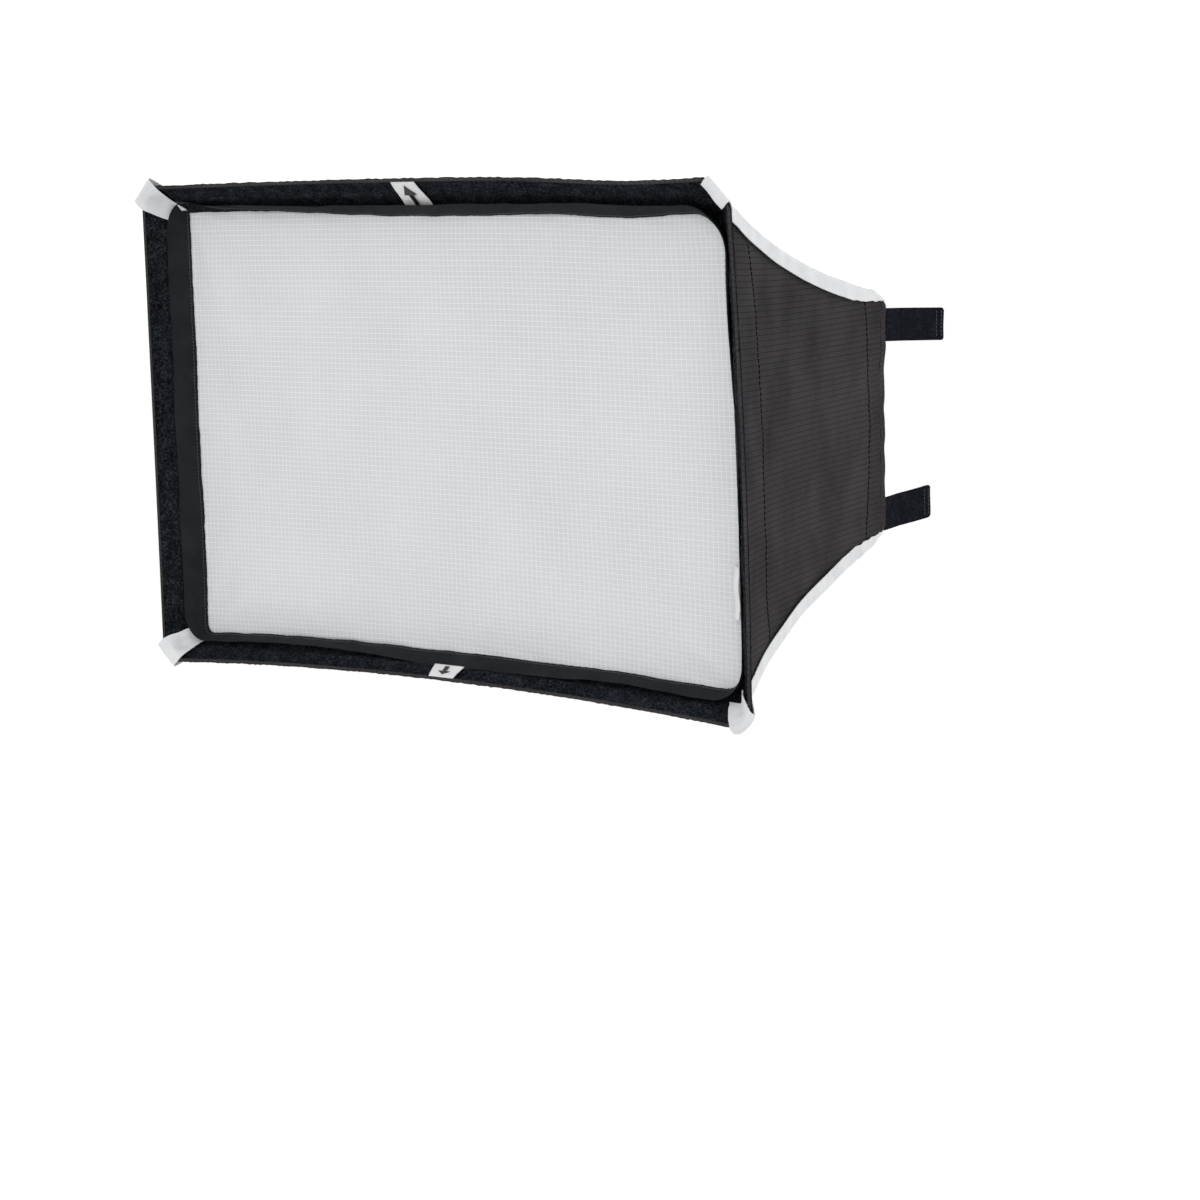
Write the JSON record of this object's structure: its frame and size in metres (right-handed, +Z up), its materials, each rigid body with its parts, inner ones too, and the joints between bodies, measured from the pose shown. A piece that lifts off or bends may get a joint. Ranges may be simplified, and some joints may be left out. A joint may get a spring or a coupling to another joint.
{
  "type": "softbox",
  "caption": "Folding fabric softbox with a flared rectangular body, white corner tapes, a recessed white front diffuser held by hook-and-loop tape, and rear straps for a panel lamp.",
  "frame": {"origin": "centre of the rear opening, in the plane of the rear hems, where the lamp's face sits", "axes": "+X to the right seen from the front, +Y back towards the lamp, +Z up, so light leaves along -Y"},
  "size_m": [0.7, 0.5845, 0.46],
  "materials": {
    "shell_ripstop": "black ripstop nylon, softly sheened",
    "silver_lining": "silver coated reflective lining",
    "white_tape": "white woven reinforcement tape",
    "loop_tape": "black loop pile tape",
    "diffuser_cloth": "white ripstop diffusion cloth",
    "border_tape": "dark grey woven binding tape",
    "hook_tape": "black hook tape",
    "strap_webbing": "black loop-faced webbing strap",
    "label_white": "white printed satin label",
    "frame_rod": "black pultruded fibreglass rod",
    "joint_plastic": "black moulded nylon",
    "batten_plastic": "flexible plastic stiffener",
    "hinge_steel": "plain steel hinge parts"
  },
  "bodies": {
    "left_side": {"left_side_panel": "shell_ripstop", "left_side_lining": "silver_lining", "top_panel_left_half": "shell_ripstop", "top_lining_left_half": "silver_lining", "top_rim_tape_left_half": "loop_tape", "left_top_spine_tape": "white_tape", "left_top_spine_rod": "frame_rod", "left_top_corner_joint": "joint_plastic", "bottom_panel_left_half": "shell_ripstop", "bottom_lining_left_half": "silver_lining", "bottom_rim_tape_left_half": "loop_tape", "left_bottom_spine_tape": "white_tape", "left_bottom_spine_rod": "frame_rod", "left_bottom_corner_joint": "joint_plastic", "left_rear_hem": "shell_ripstop", "left_rear_batten": "batten_plastic", "left_upright_rod": "frame_rod", "left_corner_pins": "hinge_steel", "left_rim_tape": "loop_tape", "fold_labels": "label_white"},
    "right_side": {"right_side_panel": "shell_ripstop", "right_side_lining": "silver_lining", "top_panel_right_half": "shell_ripstop", "top_lining_right_half": "silver_lining", "top_rim_tape_right_half": "loop_tape", "right_top_spine_tape": "white_tape", "right_top_spine_rod": "frame_rod", "right_top_corner_joint": "joint_plastic", "bottom_panel_right_half": "shell_ripstop", "bottom_lining_right_half": "silver_lining", "bottom_rim_tape_right_half": "loop_tape", "right_bottom_spine_tape": "white_tape", "right_bottom_spine_rod": "frame_rod", "right_bottom_corner_joint": "joint_plastic", "right_rear_hem": "shell_ripstop", "right_rear_batten": "batten_plastic", "right_upright_rod": "frame_rod", "right_corner_pins": "hinge_steel", "right_rim_tape": "loop_tape"},
    "top_left_arm": {"top_left_rod": "frame_rod", "top_left_rod_eye": "joint_plastic", "top_left_hinge_leaf": "hinge_steel", "top_centre_pin": "hinge_steel"},
    "top_right_arm": {"top_right_rod": "frame_rod", "top_right_rod_eye": "joint_plastic", "top_right_hinge_leaf": "hinge_steel"},
    "bottom_left_arm": {"bottom_left_rod": "frame_rod", "bottom_left_rod_eye": "joint_plastic", "bottom_left_hinge_leaf": "hinge_steel", "bottom_centre_pin": "hinge_steel"},
    "bottom_right_arm": {"bottom_right_rod": "frame_rod", "bottom_right_rod_eye": "joint_plastic", "bottom_right_hinge_leaf": "hinge_steel"},
    "diffuser": {"diffuser_cloth": "diffuser_cloth", "diffuser_border": "border_tape", "diffuser_hook_tape": "hook_tape"},
    "left_upper_strap_body": {"left_upper_strap": "strap_webbing"},
    "left_lower_strap_body": {"left_lower_strap": "strap_webbing"},
    "right_upper_strap_body": {"right_upper_strap": "strap_webbing"},
    "right_lower_strap_body": {"right_lower_strap": "strap_webbing"}
  },
  "joints": [
    {"name": "frame_fold", "type": "hinge", "parent": "left_side", "child": "top_left_arm", "pos_m": [-0.289, -0.438, 0.194], "axis": [0, 0, 1], "range_deg": [0, 69], "deforming": ["top_panel_left_half", "top_lining_left_half", "top_rim_tape_left_half", "top_panel_right_half", "top_lining_right_half", "top_rim_tape_right_half", "bottom_panel_left_half", "bottom_lining_left_half", "bottom_rim_tape_left_half", "bottom_panel_right_half", "bottom_lining_right_half", "bottom_rim_tape_right_half", "fold_labels", "diffuser_cloth", "diffuser_border", "diffuser_hook_tape"]},
    {"name": "top_centre_hinge", "type": "hinge", "parent": "top_left_arm", "child": "top_right_arm", "pos_m": [0, -0.444, 0.194], "axis": [0, 0, 1], "range_deg": [-180, 0]},
    {"name": "top_right_corner_hinge", "type": "hinge", "parent": "top_right_arm", "child": "right_side", "pos_m": [0.289, -0.438, 0.194], "axis": [0, 0, 1], "range_deg": [0, 69]},
    {"name": "bottom_left_corner_hinge", "type": "hinge", "parent": "left_side", "child": "bottom_left_arm", "pos_m": [-0.289, -0.438, -0.194], "axis": [0, 0, 1], "range_deg": [0, 69]},
    {"name": "bottom_centre_hinge", "type": "hinge", "parent": "bottom_left_arm", "child": "bottom_right_arm", "pos_m": [0, -0.444, -0.194], "axis": [0, 0, 1], "range_deg": [-180, 0]},
    {"name": "diffuser_pull", "type": "slide", "parent": "left_side", "child": "diffuser", "axis": [0, -1, 0], "range_m": [0, 0.15]},
    {"name": "left_upper_strap_swing", "type": "hinge", "parent": "left_side", "child": "left_upper_strap_body", "pos_m": [-0.158, 0.0014, 0.089], "axis": [0, 0, 1], "range_deg": [-26, 79]},
    {"name": "left_lower_strap_swing", "type": "hinge", "parent": "left_side", "child": "left_lower_strap_body", "pos_m": [-0.158, 0.0014, -0.099], "axis": [0, 0, 1], "range_deg": [-26, 79]},
    {"name": "right_upper_strap_swing", "type": "hinge", "parent": "right_side", "child": "right_upper_strap_body", "pos_m": [0.158, 0.0014, 0.089], "axis": [0, 0, -1], "range_deg": [-26, 79]},
    {"name": "right_lower_strap_swing", "type": "hinge", "parent": "right_side", "child": "right_lower_strap_body", "pos_m": [0.158, 0.0014, -0.099], "axis": [0, 0, -1], "range_deg": [-26, 79]}
  ],
  "couplings": [
    {"joint": "top_centre_hinge", "follows": "frame_fold", "ratio": -2.6},
    {"joint": "top_right_corner_hinge", "follows": "frame_fold", "ratio": 1},
    {"joint": "bottom_left_corner_hinge", "follows": "frame_fold", "ratio": 1},
    {"joint": "bottom_centre_hinge", "follows": "frame_fold", "ratio": -2.6}
  ]
}
